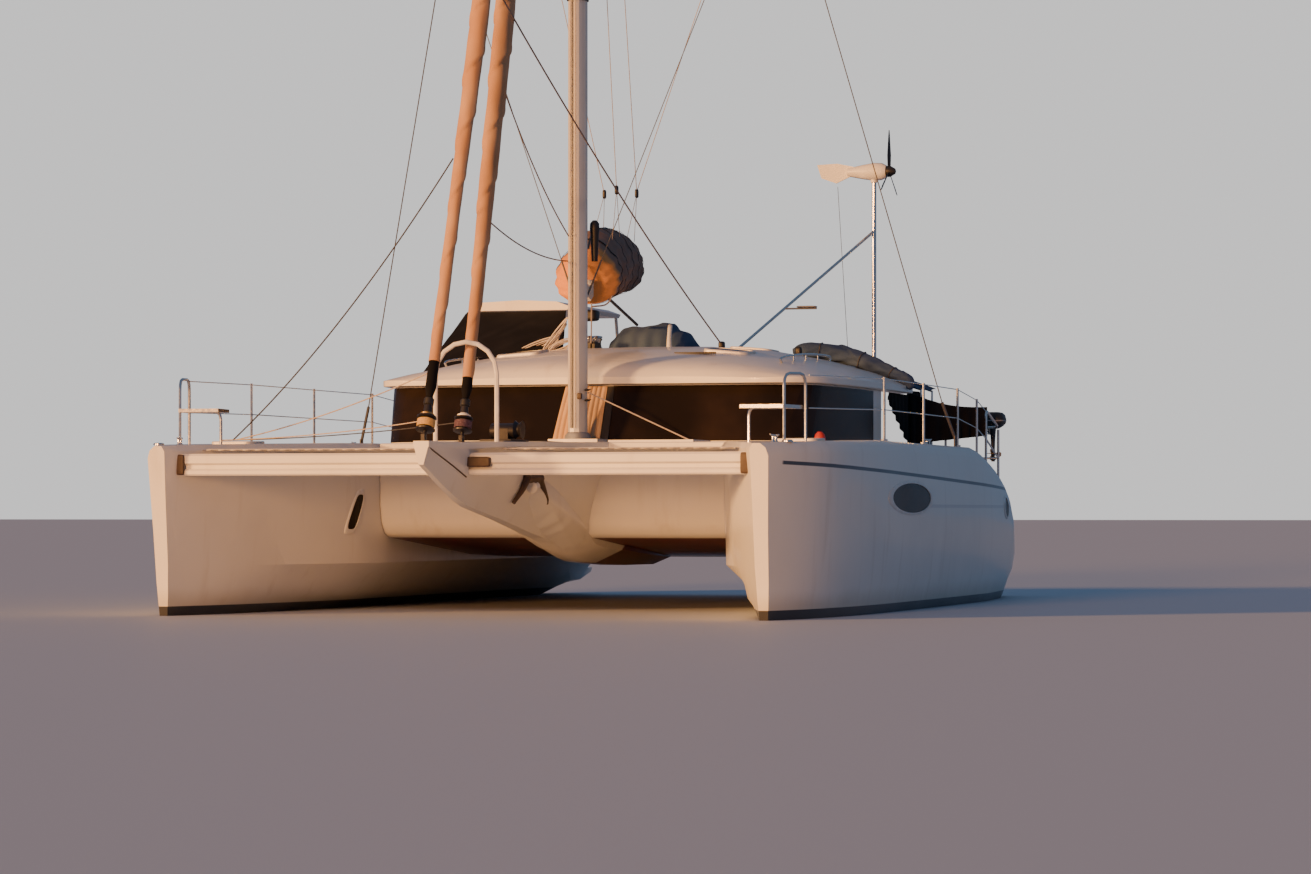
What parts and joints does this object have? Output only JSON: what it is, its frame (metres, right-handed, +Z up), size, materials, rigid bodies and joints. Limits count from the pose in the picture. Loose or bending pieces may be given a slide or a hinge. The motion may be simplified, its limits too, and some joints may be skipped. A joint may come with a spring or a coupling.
{
  "type": "sailing catamaran",
  "caption": "Cruising catamaran with a long deckhouse, raised helm, masthead rig with furled headsails, stowed mainsail and a shaded cockpit.",
  "frame": {"origin": "on the waterline, on the centreplane, 5.95 m aft of the stems, near the middle of the boat", "axes": "+Z up, +X to port, and the bows point to -Y"},
  "size_m": [6.67, 11.504, 18.7],
  "materials": {
    "gelcoat": "satin white gelcoat",
    "antifouling": "matt dark antifouling paint",
    "aluminium": "anodised, dull silver",
    "steel": "polished stainless steel",
    "bronze": "bronze, slightly dull",
    "net": "pale woven netting",
    "glass": "dark tinted window",
    "sail_cover": "tan woven cover over rolled sail",
    "canvas": "blue-grey boat canvas",
    "dark_canvas": "black canvas",
    "plastic": "black plastic",
    "upholstery": "beige upholstery",
    "wood": "varnished wood"
  },
  "bodies": {
    "boat": {"anchor_windlass": "steel", "bow_hoop": "steel", "bridgedeck": "gelcoat", "cabin_aft": "gelcoat", "cabin_front": "gelcoat", "cabin_roof": "gelcoat", "cabin_side_port": "gelcoat", "cabin_side_starboard": "gelcoat", "canopy_frame": "steel", "canvas_roll": "canvas", "centre_nacelle": "gelcoat", "cockpit_canopy": "canvas", "cockpit_seats": "upholstery", "cockpit_table": "wood", "crossbeam": "aluminium", "furled_sail_inner": "sail_cover", "furled_sail_outer": "sail_cover", "furler_drum_inner": "aluminium", "furler_drum_outer": "aluminium", "guardrail_port": "steel", "guardrail_starboard": "steel", "helm_console": "gelcoat", "helm_seat": "upholstery", "helm_top": "gelcoat", "helm_windscreen": "dark_canvas", "hull_port": "gelcoat", "hull_starboard": "gelcoat", "keel_port": "antifouling", "keel_starboard": "antifouling", "mast": "aluminium", "outboard": "plastic", "pulpit_port": "steel", "pulpit_starboard": "steel", "roof_hood": "canvas", "saildrive_port": "aluminium", "saildrive_starboard": "aluminium", "saloon_settee": "upholstery", "saloon_table": "wood", "shade_cloth": "dark_canvas", "shroud_port": "steel", "shroud_starboard": "steel", "trampoline_port": "net", "trampoline_starboard": "net", "wind_pole": "steel", "window_band_port": "glass", "window_band_starboard": "glass"},
    "boom_and_bag": {"boom": "aluminium", "sail_bag": "sail_cover"},
    "rudder_port": {"rudder_port": "antifouling"},
    "rudder_starboard": {"rudder_starboard": "antifouling"},
    "propeller_port": {"propeller_port": "bronze"},
    "propeller_starboard": {"propeller_starboard": "bronze"},
    "wheel": {"helm_wheel": "steel"},
    "door": {"saloon_door": "glass"},
    "lid_port": {"locker_lid_port": "gelcoat"},
    "lid_starboard": {"locker_lid_starboard": "gelcoat"},
    "wind_head": {"wind_head": "gelcoat"},
    "wind_rotor": {"wind_rotor": "plastic"},
    "ladder": {"swim_ladder": "steel"}
  },
  "joints": [
    {"name": "boom_swing", "type": "hinge", "parent": "boat", "child": "boom_and_bag", "pos_m": [0, -1.95, 3.1], "axis": [0, 0, 1], "range_deg": [-57, 33]},
    {"name": "steer_port", "type": "hinge", "parent": "boat", "child": "rudder_port", "pos_m": [2.8, 3.6, -0.25], "axis": [0, 0, 1], "range_deg": [-35, 35]},
    {"name": "steer_starboard", "type": "hinge", "parent": "boat", "child": "rudder_starboard", "pos_m": [-2.8, 3.6, -0.25], "axis": [0, 0, 1], "range_deg": [-35, 35]},
    {"name": "wheel_turn", "type": "hinge", "parent": "boat", "child": "wheel", "pos_m": [-1.43, 1.375, 1.96], "axis": [0, -1, 0], "range_deg": [-360, 360]},
    {"name": "spin_port", "type": "hinge", "parent": "boat", "child": "propeller_port", "pos_m": [2.8, 2.335, -0.88], "axis": [0, 1, 0], "continuous": true},
    {"name": "spin_starboard", "type": "hinge", "parent": "boat", "child": "propeller_starboard", "pos_m": [-2.8, 2.335, -0.88], "axis": [0, 1, 0], "continuous": true},
    {"name": "door_slide", "type": "slide", "parent": "boat", "child": "door", "axis": [1, 0, 0], "range_m": [0, 0.9]},
    {"name": "lid_port_lift", "type": "hinge", "parent": "boat", "child": "lid_port", "pos_m": [0.93, -2.222, 1.613], "axis": [-1, 0, 0], "range_deg": [0, 80]},
    {"name": "lid_starboard_lift", "type": "hinge", "parent": "boat", "child": "lid_starboard", "pos_m": [-0.93, -2.222, 1.613], "axis": [-1, 0, 0], "range_deg": [0, 80]},
    {"name": "wind_yaw", "type": "hinge", "parent": "boat", "child": "wind_head", "pos_m": [1.53, 3.95, 4.6], "axis": [0, 0, 1], "continuous": true},
    {"name": "wind_spin", "type": "hinge", "parent": "wind_head", "child": "wind_rotor", "pos_m": [1.701, 3.95, 4.72], "axis": [1, 0, 0], "continuous": true},
    {"name": "ladder_fold", "type": "hinge", "parent": "boat", "child": "ladder", "pos_m": [-2.45, 4.772, 0.29], "axis": [-1, 0, 0], "range_deg": [0, 175]}
  ],
  "couplings": [
    {"joint": "steer_starboard", "follows": "steer_port", "ratio": 1},
    {"joint": "wheel_turn", "follows": "steer_port", "ratio": 10}
  ]
}
